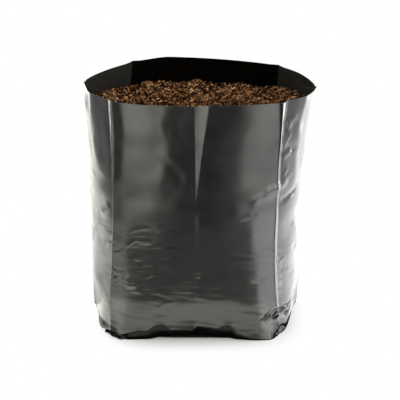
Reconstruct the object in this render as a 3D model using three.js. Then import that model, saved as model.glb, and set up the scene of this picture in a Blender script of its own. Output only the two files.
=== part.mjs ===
// Open-top polythene grow bag, filled with coir and standing on its own base.
// The bag is one piece of black film: a gusseted tube, heat-sealed across the bottom, whose fold
// lines still show as creases. The coir rests inside it, a little below the cut rim.
// Millimetres, +Z up. The front panel faces -Y, and the origin is on the floor under the middle
// of the bag's outer box.
import * as THREE from 'three';

// Driving dimensions of the film bag
const BAG_HEIGHT = 266; // floor to the cut rim
const PANEL_WIDTH = 174; // front and back panels, corner crease to corner crease
const GUSSET_DEPTH = 176; // side gussets, corner crease to corner crease
const PANEL_BULGE = 22; // belly of the front and back panels, out from the corner creases
const GUSSET_BULGE = 31.5; // belly of the side gussets, out from the corner creases
const BELLY_HEIGHT = 112; // height at which the filled bag is roundest
const MOUTH_EASE = 1.3; // power with which the belly opens out to the rim's own shape
const FILM_THICKNESS = 0.15;

// The base, where the sealed bottom pulls the bag square
const BASE_PANEL_BULGE = 17;
const BASE_GUSSET_BULGE = 31;
const BASE_CORNER_SPREAD = 5; // the corner creases stand this much further out at the floor
const SQUARE_SHARE = 0.7; // how far the gussets are drawn into straight lines at the floor
const SQUARE_HEIGHT = 60; // up to this they still are, a little
const CORNER_TURN = { inset: 1.5, height: 10 }; // how the film turns under at a corner crease
const PANEL_TURN = { inset: 11, height: 38 }; // and in the middle of a panel
const GUSSET_TURN = { inset: 1.5, height: 8 }; // and in the middle of a gusset

// The creases
const CORNER_RIDGE = 2.4; // lip that each corner crease raises
const RIDGE_PANEL_FADE = 16; // over which the lip dies away on the panel's side
const RIDGE_GUSSET_FADE = 3.5; // and on the gusset's side
const GUSSET_RIDGE = 1.6; // lip along the middle of each gusset
const GUSSET_RIDGE_FADE = 9;
const DART_WIDTH = 15; // flat dart beside the front middle crease, at the rim
const DART_LENGTH = 104; // down from the rim, to the dart's point
const DART_SLOPE = 0.26; // how steeply the dart falls away from its crease
const DART_FADE = 40; // over which the film left of that crease rises to it

// The feet, where the spare film round each corner crease tucks out at the floor
const FOOT_REACH = 5;
const FOOT_WIDTH = 24; // from the corner crease to where the foot has mostly died away
const FOOT_HEIGHT = 3.5; // height of the foot's edge above the floor
const FOOT_SPREAD = 5; // from that edge to where the foot ends, up or down

// Broad dents in the film between the creases
const DENT_DEPTH = 0.8;
const DENT_HEIGHT = 58; // from one dent to the next, going up
const DENT_TOP = 178; // above this the film is smooth
const DENT_STEP = 2.1; // phase of the dents, from one span between creases to the next

// The heat-sealed hem, folded flat under the base
const HEM_WIDTH = 12;
const HEM_END_GAP = 7; // from each end of the hem to the corner creases
const HEM_LENGTH = PANEL_WIDTH - 2 * HEM_END_GAP;
const HEM_FILMS = 2; // films folded under the base film
const HEM_FLOOR_GAP = 0.4;
const HEM_RECESS = HEM_FILMS * FILM_THICKNESS + HEM_FLOOR_GAP; // lift of the base film over the hem
const HEM_MARGIN = 2.5; // lifted film around the hem, and the slope down to the floor
const HEM_ROWS = 2; // rows of the base that are doubled by the hem

// The coir
const FILL_BELOW_RIM = 29;
const FILL_HEIGHT = BAG_HEIGHT - FILL_BELOW_RIM; // of the coir, where it meets the film
const FILL_CLEARANCE = 0.3; // between the film and the coir
const FILL_CROWN = 6; // rise of the coir from the film to the middle
const SIDE_LIFT = 9; // rise of the coir against the middles of the gussets
const LUMP_EDGE = 14; // power with which the lumps level off towards the film
const LUMP_WAVES = [
  { turn: 0, spacing: 50, phase: 1.95, height: 2.6 },
  { turn: 0.4, spacing: 34, phase: 0.4, height: 1.3 },
  { turn: 2.6, spacing: 30, phase: 2.6, height: 1.3 },
  { turn: 0.9, spacing: 23, phase: 0.9, height: 1.2 },
  { turn: 2.1, spacing: 26, phase: 2.1, height: 1.2 },
];

// Mesh steps
const STEPS_BESIDE_CREASE = [0, 0.06, 0.17, 0.31, 0.44, 0.56, 0.69, 0.83, 0.94];
const TURN_ROWS = [0, 0.02, 0.065, 0.145, 0.235, 0.34, 0.5, 0.7, 1]; // shares of a panel's turn height
const WALL_ROWS = 13; // rows from there to the coir's edge
const RIM_ROWS = [0.35, 0.7, 1]; // rows of the free film, as shares of FILL_BELOW_RIM
const FLAP_ROWS = [0.78, 0.52, 0.3]; // rows of the base, as shares of the way out from the hem
const FILL_RINGS = 15; // rings of the coir's top, inside its edge
const LAST_FILL_RING = 0.97; // share of the way out to the edge

const FILM_COLOUR = 0x0b0b0b;
const COIR_COLOUR = 0x4a2d1a;

// The eight fold lines, in order round the bag from the front left corner. side and front give
// their places: a corner is on both, a panel's middle has side 0 and a gusset's has front 0.
// mouthShift is how far the crease has wandered by the rim.
const CREASES = [
  { side: -1, front: -1, mouthShift: [-1.5, 7.5] },
  { side: 0, front: -1, mouthShift: [0, 8.5] },
  { side: 1, front: -1, mouthShift: [3.3, 0] },
  { side: 1, front: 0, mouthShift: [10.5, -26] },
  { side: 1, front: 1, mouthShift: [6.2, -19.5] },
  { side: 0, front: 1, mouthShift: [-15.5, 0] },
  { side: -1, front: 1, mouthShift: [13.7, -0.5] },
  { side: -1, front: 0, mouthShift: [-3, 2] },
];
const FRONT_MIDDLE = CREASES.findIndex((crease) => crease.side === 0 && crease.front === -1);
const COLUMNS_PER_SPAN = STEPS_BESIDE_CREASE.length;
const COLUMNS = CREASES.length * COLUMNS_PER_SPAN;

const isCorner = (crease) => crease.side !== 0 && crease.front !== 0;

const smooth = (t) => {
  const s = THREE.MathUtils.clamp(t, 0, 1);
  return s * s * (3 - 2 * s);
};

// A column's place round the bag: the creases before and after it, how far it is from the one to
// the other, and whether it is on a panel or a gusset.
function columnPlace(column) {
  const index = Math.floor(column / COLUMNS_PER_SPAN);
  const nextIndex = (index + 1) % CREASES.length;
  const onPanel = CREASES[index].front === CREASES[nextIndex].front;
  return { index, nextIndex, onPanel, along: STEPS_BESIDE_CREASE[column % COLUMNS_PER_SPAN] };
}

// A crease's plan position, from the bulges of the panels and gussets at that level.
function creasePoint(crease, panelBulge, gussetBulge, spread) {
  const halfWidth = PANEL_WIDTH / 2;
  const halfDepth = GUSSET_DEPTH / 2;
  if (isCorner(crease)) {
    return new THREE.Vector2(crease.side * (halfWidth + spread), crease.front * (halfDepth + spread));
  }
  return new THREE.Vector2(crease.side * (halfWidth + gussetBulge), crease.front * (halfDepth + panelBulge));
}

// The creases' plan positions at a height: square at the base, round at the belly, open at the rim.
function creasePoints(height) {
  const round = smooth(height / BELLY_HEIGHT);
  const open = Math.max(0, (height - BELLY_HEIGHT) / (BAG_HEIGHT - BELLY_HEIGHT)) ** MOUTH_EASE;
  return CREASES.map((crease) => {
    const base = creasePoint(crease, BASE_PANEL_BULGE, BASE_GUSSET_BULGE, BASE_CORNER_SPREAD);
    const belly = creasePoint(crease, PANEL_BULGE, GUSSET_BULGE, 0);
    const shift = new THREE.Vector2(...crease.mouthShift).multiplyScalar(open);
    return base.lerp(belly, round).add(shift);
  });
}

// A value given at each crease, eased from one crease to the next.
function betweenCreases(values, place) {
  return THREE.MathUtils.lerp(values[place.index], values[place.nextIndex], smooth(place.along));
}

const turnOf = (crease) => {
  if (isCorner(crease)) return CORNER_TURN;
  return crease.side === 0 ? PANEL_TURN : GUSSET_TURN;
};
const TURN_INSETS = CREASES.map((crease) => turnOf(crease).inset);
const TURN_HEIGHTS = CREASES.map((crease) => turnOf(crease).height);

// How far the film has drawn in where it turns under, as a quarter of an ellipse.
function turnUnder(place, height) {
  const inset = betweenCreases(TURN_INSETS, place);
  const left = THREE.MathUtils.clamp(1 - height / betweenCreases(TURN_HEIGHTS, place), 0, 1);
  return inset * (1 - Math.sqrt(1 - left * left));
}

// The lip of a crease at a distance from it along the film.
function creaseRidge(crease, distance, onPanel) {
  if (isCorner(crease)) {
    return CORNER_RIDGE * Math.exp(-distance / (onPanel ? RIDGE_PANEL_FADE : RIDGE_GUSSET_FADE));
  }
  return crease.front === 0 ? GUSSET_RIDGE * Math.exp(-distance / GUSSET_RIDGE_FADE) : 0;
}

// The dart beside the front middle crease: a ridge with a flat face that narrows downwards.
function dart(place, ahead, behind, height) {
  const width = DART_WIDTH * Math.max(0, 1 - (BAG_HEIGHT - height) / DART_LENGTH);
  const rise = DART_SLOPE * width;
  if (width === 0) return 0;
  if (place.index === FRONT_MIDDLE) return rise * Math.max(0, 1 - behind / width);
  if (place.index === FRONT_MIDDLE - 1) return rise * Math.exp(-ahead / DART_FADE);
  return 0;
}

// The foot of a corner crease, at a distance from it along the film.
function foot(cornerDistance, height) {
  const across = cornerDistance / FOOT_WIDTH;
  const up = (height - FOOT_HEIGHT) / FOOT_SPREAD;
  return FOOT_REACH * Math.exp(-across * across) * Math.max(0, 1 - up * up);
}

// Broad shallow dents, out of step from one panel to the next.
function dents(place, height) {
  const fade = smooth((DENT_TOP - height) / DENT_HEIGHT) * smooth(height / DENT_HEIGHT);
  const acrossPanel = Math.sin(Math.PI * place.along) ** 2;
  const up = Math.sin((2 * Math.PI * height) / DENT_HEIGHT + DENT_STEP * place.index);
  return DENT_DEPTH * fade * acrossPanel * up;
}

// One row of the film's outer face at a height, a point for each column.
function filmRow(height) {
  const corners = creasePoints(height).map((p) => new THREE.Vector3(p.x, p.y, 0));
  const outline = new THREE.CatmullRomCurve3(corners, true, 'catmullrom', 0.5);
  const square = SQUARE_SHARE * (1 - smooth(height / SQUARE_HEIGHT));
  return Array.from({ length: COLUMNS }, (_, column) => {
    const place = columnPlace(column);
    const [from, to] = [corners[place.index], corners[place.nextIndex]];
    const t = (place.index + place.along) / CREASES.length;
    const tangent = outline.getTangent(t);
    const point = outline.getPoint(t);
    if (!place.onPanel) point.lerp(from.clone().lerp(to, place.along), square);
    const behind = point.distanceTo(from);
    const ahead = point.distanceTo(to);
    const out =
      creaseRidge(CREASES[place.index], behind, place.onPanel) +
      creaseRidge(CREASES[place.nextIndex], ahead, place.onPanel) +
      dart(place, ahead, behind, height) +
      dents(place, height) +
      foot(isCorner(CREASES[place.index]) ? behind : ahead, height) -
      turnUnder(place, height);
    return point.set(point.x + tangent.y * out, point.y - tangent.x * out, height);
  });
}

// A ring round the hem: panel columns spread along its long sides and gusset columns across its ends.
function hemRing(margin, height) {
  const halfLength = HEM_LENGTH / 2 + margin;
  const halfWidth = HEM_WIDTH / 2 + margin;
  return Array.from({ length: COLUMNS }, (_, column) => {
    const { index, nextIndex, along } = columnPlace(column);
    const [from, to] = [CREASES[index], CREASES[nextIndex]];
    const x = THREE.MathUtils.lerp(from.side, to.side, along) * halfLength;
    const y = THREE.MathUtils.lerp(from.front, to.front, along) * halfWidth;
    return new THREE.Vector3(x, y, height);
  });
}

// Rows of the base, from the turn of the film in to the hem and its seal line.
function baseRows(outline) {
  const recess = hemRing(2 * HEM_MARGIN, 0);
  const flaps = FLAP_ROWS.map((share) => recess.map((p, column) => p.clone().lerp(outline[column], share)));
  const edge = hemRing(0, HEM_RECESS);
  const seal = edge.map((p) => {
    const x = THREE.MathUtils.clamp(p.x, (HEM_WIDTH - HEM_LENGTH) / 2, (HEM_LENGTH - HEM_WIDTH) / 2);
    return new THREE.Vector3(x, 0, HEM_RECESS);
  });
  return [...flaps, recess, hemRing(HEM_MARGIN, HEM_RECESS), edge, seal];
}

// The film's outer face as rows of points, from the rim down and in to the seal.
function filmRows() {
  const turn = TURN_ROWS.map((share) => share * PANEL_TURN.height);
  const wall = Array.from({ length: WALL_ROWS }, (_, i) =>
    THREE.MathUtils.lerp(PANEL_TURN.height, FILL_HEIGHT, (i + 1) / WALL_ROWS),
  );
  const rim = RIM_ROWS.map((share) => FILL_HEIGHT + share * FILL_BELOW_RIM);
  const sides = [...turn, ...wall, ...rim].reverse().map(filmRow);
  return [...sides, ...baseRows(sides.at(-1))];
}

function geometryOf(points, triangles) {
  const geometry = new THREE.BufferGeometry();
  geometry.setAttribute('position', new THREE.Float32BufferAttribute(points.flatMap((p) => p.toArray()), 3));
  geometry.setIndex(triangles.flat());
  geometry.computeVertexNormals();
  return geometry;
}

// Triangles between rows of point numbers that run round the bag, from the top down. Points that
// rows share, as along the seal, leave out the triangles that would collapse.
function stripTriangles(rows) {
  const triangles = [];
  for (let row = 0; row + 1 < rows.length; row++) {
    for (let column = 0; column < COLUMNS; column++) {
      const next = (column + 1) % COLUMNS;
      const [a, b] = [rows[row][column], rows[row][next]];
      const [c, d] = [rows[row + 1][column], rows[row + 1][next]];
      triangles.push([a, c, b], [b, c, d]);
    }
  }
  return triangles.filter(([a, b, c]) => a !== b && b !== c && c !== a);
}

// The film's outer face: its points, their outward normals, and its rows as numbers of those points.
function filmSheet() {
  const points = [];
  const numberAt = new Map();
  const numberOf = (p) => {
    const key = p.toArray().map((v) => v.toFixed(3)).join();
    if (!numberAt.has(key)) numberAt.set(key, points.push(p) - 1);
    return numberAt.get(key);
  };
  const rows = filmRows().map((row) => row.map(numberOf));
  const normal = geometryOf(points, stripTriangles(rows)).getAttribute('normal');
  const normals = points.map((_, i) => new THREE.Vector3().fromBufferAttribute(normal, i));
  return { points, normals, rows };
}

const insetPoints = (sheet, distance) =>
  sheet.points.map((p, i) => p.clone().addScaledVector(sheet.normals[i], -distance));

// The film bag: the outer face, the inner face one film's thickness inside it, and the cut rim
// that joins them. Along the hem the outer face drops by the films folded under it.
function filmBag(sheet) {
  const inner = insetPoints(sheet, FILM_THICKNESS);
  const hem = new Set(sheet.rows.slice(-HEM_ROWS).flat());
  const outer = sheet.points.map((p, i) => (hem.has(i) ? p.clone().setZ(p.z - HEM_FILMS * FILM_THICKNESS) : p));
  const innerRows = sheet.rows.map((row) => row.map((i) => i + outer.length));
  const outside = stripTriangles(sheet.rows);
  const inside = stripTriangles(innerRows).map(([a, b, c]) => [a, c, b]);
  const rim = stripTriangles([innerRows[0], sheet.rows[0]]);
  return geometryOf([...outer, ...inner], [...outside, ...inside, ...rim]);
}

// Height of the coir's top: crowned in the middle and lifted at the sides, with lumps that level
// off towards the film. share is how far out the place is, from 0 in the middle to 1 at the film.
function coirHeight(x, y, share) {
  const side = (x / (PANEL_WIDTH / 2 + GUSSET_BULGE)) ** 4;
  const crown = FILL_CROWN * (1 - share ** 2) + SIDE_LIFT * side;
  const waves = LUMP_WAVES.map(({ turn, spacing, phase, height }) => {
    const along = x * Math.cos(turn) + y * Math.sin(turn);
    return height * Math.sin((2 * Math.PI * along) / spacing + phase);
  });
  const lumps = waves.reduce((sum, wave) => sum + wave, 0);
  return FILL_HEIGHT + crown + lumps * (1 - share ** LUMP_EDGE);
}

// The coir: its sides follow the film's inner face, and its top is crowned and lumpy.
function coirFill(sheet) {
  const points = insetPoints(sheet, FILM_THICKNESS + FILL_CLEARANCE);
  const sides = sheet.rows.slice(RIM_ROWS.length);
  const edge = sides[0].map((i) => points[i]);
  const middle = edge.reduce((sum, p) => sum.add(p), new THREE.Vector3()).divideScalar(COLUMNS);
  const rings = Array.from({ length: FILL_RINGS + 1 }, (_, ring) => {
    const share = (LAST_FILL_RING * ring) / FILL_RINGS;
    return edge.map((p) => {
      const at = middle.clone().lerp(p, share);
      return points.push(at.setZ(coirHeight(at.x, at.y, share))) - 1;
    });
  });
  rings[0].fill(rings[0][0]);
  return geometryOf(points, stripTriangles([...rings, ...sides]));
}

function growBag() {
  const sheet = filmSheet();
  const film = new THREE.Mesh(
    filmBag(sheet),
    new THREE.MeshStandardMaterial({ color: FILM_COLOUR, roughness: 0.2, metalness: 0 }),
  );
  film.name = 'film_bag';
  const coir = new THREE.Mesh(
    coirFill(sheet),
    new THREE.MeshStandardMaterial({ color: COIR_COLOUR, roughness: 0.95, metalness: 0 }),
  );
  coir.name = 'coir_fill';
  const bag = new THREE.Group();
  bag.add(film, coir);
  const box = new THREE.Box3().setFromObject(bag);
  const centre = box.getCenter(new THREE.Vector3());
  for (const mesh of bag.children) mesh.position.set(-centre.x, -centre.y, -box.min.z);
  return bag;
}

export default growBag();
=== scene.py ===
"""Looks of the open-top grow bag: its black film with folds and wrinkles, and the coir in it.

The film's form repeats the CAD form, in millimetres, and adds what the solid leaves out. A place
on the film has two numbers: s, the distance round the bag from the front middle crease, to the
right, and z, the height above the floor.
"""
import itertools
import math

import bpy
import numpy as np
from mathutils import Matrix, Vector


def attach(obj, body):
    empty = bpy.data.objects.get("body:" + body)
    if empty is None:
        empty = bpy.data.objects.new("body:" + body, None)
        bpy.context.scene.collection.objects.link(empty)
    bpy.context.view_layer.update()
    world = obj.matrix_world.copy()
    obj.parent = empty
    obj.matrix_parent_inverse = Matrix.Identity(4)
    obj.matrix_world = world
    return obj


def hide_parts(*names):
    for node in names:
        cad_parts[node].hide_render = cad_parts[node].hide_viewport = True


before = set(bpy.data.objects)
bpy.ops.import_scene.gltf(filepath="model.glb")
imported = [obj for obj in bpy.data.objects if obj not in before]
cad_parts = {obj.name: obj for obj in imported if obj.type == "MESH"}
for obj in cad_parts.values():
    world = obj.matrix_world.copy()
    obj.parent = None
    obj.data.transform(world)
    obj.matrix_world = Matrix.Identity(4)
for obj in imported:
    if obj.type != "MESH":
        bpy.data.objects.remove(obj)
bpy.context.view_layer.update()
MM = 0.001
SEEDS = {"waves": 7, "crumbs": 7, "fibres": 9, "hidden_folds": 10, "clods": 11, "fold_wander": 12}

# The film's form, as in the CAD
BAG_HEIGHT = 266.0
PANEL_WIDTH = 174.0
GUSSET_DEPTH = 176.0
PANEL_BULGE = 22.0
GUSSET_BULGE = 31.5
BELLY_HEIGHT = 112.0
MOUTH_EASE = 1.3
FILM_THICKNESS = 0.15
BASE_PANEL_BULGE = 17.0
BASE_GUSSET_BULGE = 31.0
BASE_CORNER_SPREAD = 5.0
SQUARE_SHARE = 0.7
SQUARE_HEIGHT = 60.0
TURN_INSETS = (1.5, 11.0, 1.5)  # at the corners and at the middles of the panels and gussets
TURN_HEIGHTS = (10.0, 38.0, 8.0)
CORNER_RIDGE = 2.4
RIDGE_PANEL_FADE = 16.0
RIDGE_GUSSET_FADE = 3.5
GUSSET_RIDGE = 1.6
GUSSET_RIDGE_FADE = 9.0
DART_WIDTH = 15.0
DART_LENGTH = 104.0
DART_SLOPE = 0.26
DART_FADE = 40.0
FOOT_REACH = 5.0
FOOT_WIDTH = 24.0
FOOT_HEIGHT = 3.5
FOOT_SPREAD = 5.0
DENT_DEPTH = 0.8
DENT_HEIGHT = 58.0
DENT_TOP = 178.0
DENT_STEP = 2.1
HEM_WIDTH = 12.0
HEM_LENGTH = PANEL_WIDTH - 14.0
HEM_DROP = 0.3
HEM_RECESS = 0.7
HEM_MARGIN = 2.5
FLAP_ROWS = (0.78, 0.52, 0.3)

# The eight creases in order round the bag, from the front left corner
SIDE = np.array([-1, 0, 1, 1, 1, 0, -1, -1])
FRONT = np.array([-1, -1, -1, 0, 1, 1, 1, 0])
MOUTH_SHIFT = np.array(
    [[-1.5, 7.5], [0, 8.5], [3.3, 0], [10.5, -26], [6.2, -19.5], [-15.5, 0], [13.7, -0.5], [-3, 2]]
)
CREASES = len(SIDE)
FRONT_MIDDLE = 1
IS_CORNER = (SIDE != 0) & (FRONT != 0)
SPAN = 92.0  # film from one crease to the next
GIRTH = CREASES * SPAN

# Columns of the film's mesh in each span, and its rows from one height to the next
SPAN_COLUMNS = (78, 78, 54, 38, 38, 38, 38, 54)
CROWD = 0.72  # how much closer the columns stand beside a crease
ROW_BANDS = ((0, 14, 28), (14, 36, 25), (36, 45, 6), (45, 150, 78), (150, BAG_HEIGHT, 60))


def smooth(t):
    t = np.clip(t, 0.0, 1.0)
    return t * t * (3.0 - 2.0 * t)


def crease_plan(panel_bulge, gusset_bulge, spread):
    x = SIDE * (PANEL_WIDTH / 2 + np.where(IS_CORNER, spread, gusset_bulge))
    y = FRONT * (GUSSET_DEPTH / 2 + np.where(IS_CORNER, spread, panel_bulge))
    return np.stack([x, y], axis=1)


BASE_PLAN = crease_plan(BASE_PANEL_BULGE, BASE_GUSSET_BULGE, BASE_CORNER_SPREAD)
BELLY_PLAN = crease_plan(PANEL_BULGE, GUSSET_BULGE, 0.0)


def crease_at(index, z):
    """Plan position of a crease at a height: square at the base, round at the belly, open at the rim."""
    index = index % CREASES
    rounded = smooth(z / BELLY_HEIGHT)[..., None]
    opened = np.maximum(0.0, (z - BELLY_HEIGHT) / (BAG_HEIGHT - BELLY_HEIGHT)) ** MOUTH_EASE
    plan = BASE_PLAN[index] * (1 - rounded) + BELLY_PLAN[index] * rounded
    return plan + MOUTH_SHIFT[index] * opened[..., None]


def eased(values, index, along):
    """A value given at each crease, eased from one crease to the next."""
    ease = smooth(along)
    return values[index] * (1 - ease) + values[(index + 1) % CREASES] * ease


def turn_values(sizes):
    corner, panel, gusset = sizes
    return np.where(IS_CORNER, corner, np.where(SIDE == 0, panel, gusset))


def turn_under(index, along, z):
    left = np.clip(1 - z / eased(turn_values(TURN_HEIGHTS), index, along), 0.0, 1.0)
    return eased(turn_values(TURN_INSETS), index, along) * (1 - np.sqrt(1 - left * left))


def crease_ridge(index, distance, on_panel):
    index = index % CREASES
    corner = CORNER_RIDGE * np.exp(-distance / np.where(on_panel, RIDGE_PANEL_FADE, RIDGE_GUSSET_FADE))
    middle = np.where(FRONT[index] == 0, GUSSET_RIDGE * np.exp(-distance / GUSSET_RIDGE_FADE), 0.0)
    return np.where(IS_CORNER[index], corner, middle)


def dart(index, ahead, behind, z):
    width = DART_WIDTH * np.maximum(0.0, 1 - (BAG_HEIGHT - z) / DART_LENGTH)
    rise = DART_SLOPE * width
    face = rise * np.maximum(0.0, 1 - behind / np.maximum(width, 1e-6))
    slope = rise * np.exp(-ahead / DART_FADE)
    return np.where(index == FRONT_MIDDLE, face, np.where(index == FRONT_MIDDLE - 1, slope, 0.0))


def dents(index, along, z):
    fade = smooth((DENT_TOP - z) / DENT_HEIGHT) * smooth(z / DENT_HEIGHT)
    up = np.sin(2 * np.pi * z / DENT_HEIGHT + DENT_STEP * index)
    return DENT_DEPTH * fade * np.sin(np.pi * along) ** 2 * up


def foot(corner_distance, z):
    up = (z - FOOT_HEIGHT) / FOOT_SPREAD
    return FOOT_REACH * np.exp(-((corner_distance / FOOT_WIDTH) ** 2)) * np.maximum(0.0, 1 - up * up)


def span_of(u):
    """The crease before a place u creases round the bag, and the share of the way to the next."""
    return np.floor(u).astype(int) % CREASES, u - np.floor(u)


def film_form(u, z):
    """Plan points and outward directions of the CAD form, at u creases round and heights z."""
    index, along = span_of(u)
    before, start, end, after = (crease_at(index + step, z) for step in (-1, 0, 1, 2))
    t = along[..., None]
    leave = (end - before) / 2
    arrive = (after - start) / 2
    square_term = 3 * (end - start) - 2 * leave - arrive
    cube_term = 2 * (start - end) + leave + arrive
    point = start + leave * t + square_term * t**2 + cube_term * t**3
    tangent = leave + 2 * square_term * t + 3 * cube_term * t**2
    tangent = tangent / np.linalg.norm(tangent, axis=-1, keepdims=True)
    on_panel = FRONT[index] == FRONT[(index + 1) % CREASES]
    straight = np.where(on_panel, 0.0, SQUARE_SHARE * (1 - smooth(z / SQUARE_HEIGHT)))[..., None]
    point = point * (1 - straight) + (start * (1 - t) + end * t) * straight
    behind = np.linalg.norm(point - start, axis=-1)
    ahead = np.linalg.norm(point - end, axis=-1)
    out = (
        crease_ridge(index, behind, on_panel)
        + crease_ridge(index + 1, ahead, on_panel)
        + dart(index, ahead, behind, z)
        + dents(index, along, z)
        + foot(np.where(IS_CORNER[index], behind, ahead), z)
        - turn_under(index, along, z)
    )
    outward = np.stack([tangent[..., 1], -tangent[..., 0]], axis=-1)
    return point + outward * out[..., None], outward


def form_centre(columns=1600, rows=400):
    """Middle of the form's box in plan, which is the frame's origin."""
    u, z = np.meshgrid(np.linspace(0, CREASES, columns, endpoint=False), np.linspace(0, BAG_HEIGHT, rows))
    points = film_form(u, z)[0].reshape(-1, 2)
    return (points.min(axis=0) + points.max(axis=0)) / 2


CENTRE = form_centre()


# Folds and wrinkles of the film

FOLD_TAPER = 0.25  # share of a fold over which either end dies away


def film_place(u):
    """s of a column that is u creases round the bag."""
    return SPAN * ((u - FRONT_MIDDLE + CREASES / 2) % CREASES - CREASES / 2)


def wave_field(rng, s, z, length_s, length_z, count=48):
    """Smooth random field of unit height that closes on itself round the bag."""
    total = np.zeros_like(s)
    for _ in range(count):
        turns = round(rng.normal() * GIRTH / length_s)
        rate = rng.normal() * 2 * np.pi / length_z
        total += np.cos(2 * np.pi * turns * s / GIRTH + rate * z + rng.uniform(0, 2 * np.pi))
    return total * math.sqrt(2 / count)


def profile(s, rows):
    """The columns after the first, which is s, read off between the rows."""
    places, *columns = np.array(rows, float).T
    return [np.interp(s, places, column) for column in columns]


def fold(s, z, points, height, width):
    """A ridge, or with a negative height a groove, along points on the film, tapered at both ends."""
    points = np.array(points, float)
    steps = np.diff(points, axis=0)
    lengths = np.linalg.norm(steps, axis=1)
    total = lengths.sum()
    nearest = np.full(s.shape, np.inf)
    share = np.zeros(s.shape)
    done = 0.0
    for start, step, length in zip(points, steps, lengths):
        along = np.clip(((s - start[0]) * step[0] + (z - start[1]) * step[1]) / length**2, 0.0, 1.0)
        gap = np.hypot(s - start[0] - along * step[0], z - start[1] - along * step[1])
        closer = gap < nearest
        nearest = np.where(closer, gap, nearest)
        share = np.where(closer, (done + along * length) / total, share)
        done += length
    taper = smooth(share / FOLD_TAPER) * smooth((1 - share) / FOLD_TAPER)
    return height * taper * np.exp(-((nearest / width) ** 2))


# How far the front creases lean to the right: height, and the lean of the left, middle and right one
LEAN = ((0, -0.5, -2, -3.8), (60, -3, -2.8, -5.3), (160, -0.5, -0.8, -3.8), (BAG_HEIGHT, 0, -1.9, -1.8))
GUSSET_SHOW = 0.34  # share of a front gusset's breadth that the front shows


def lean(s, z):
    heights, *columns = np.array(LEAN, float).T
    rows = np.arange(len(LEAN))
    row = np.interp(z, heights, rows)
    row = np.floor(row) + smooth(row - np.floor(row))
    left, middle, right = (np.interp(row, rows, column) for column in columns)
    beside = np.where(s < 0, left, right)
    away = np.abs(s) / SPAN
    inner = middle * (1 - away) + beside * away
    return np.where(away < 1, inner, beside * np.maximum(0.0, 2 - away))


def before_lean(s, z):
    """s of what the front would show at a place if its creases didn't lean."""
    over = np.maximum(np.abs(s) - SPAN, 0.0)
    shown = s - np.sign(s) * over * (1 - GUSSET_SHOW) + lean(s, z)
    over = np.maximum(np.abs(shown) - SPAN, 0.0)
    return shown + np.sign(shown) * over * (1 / GUSSET_SHOW - 1)


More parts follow.
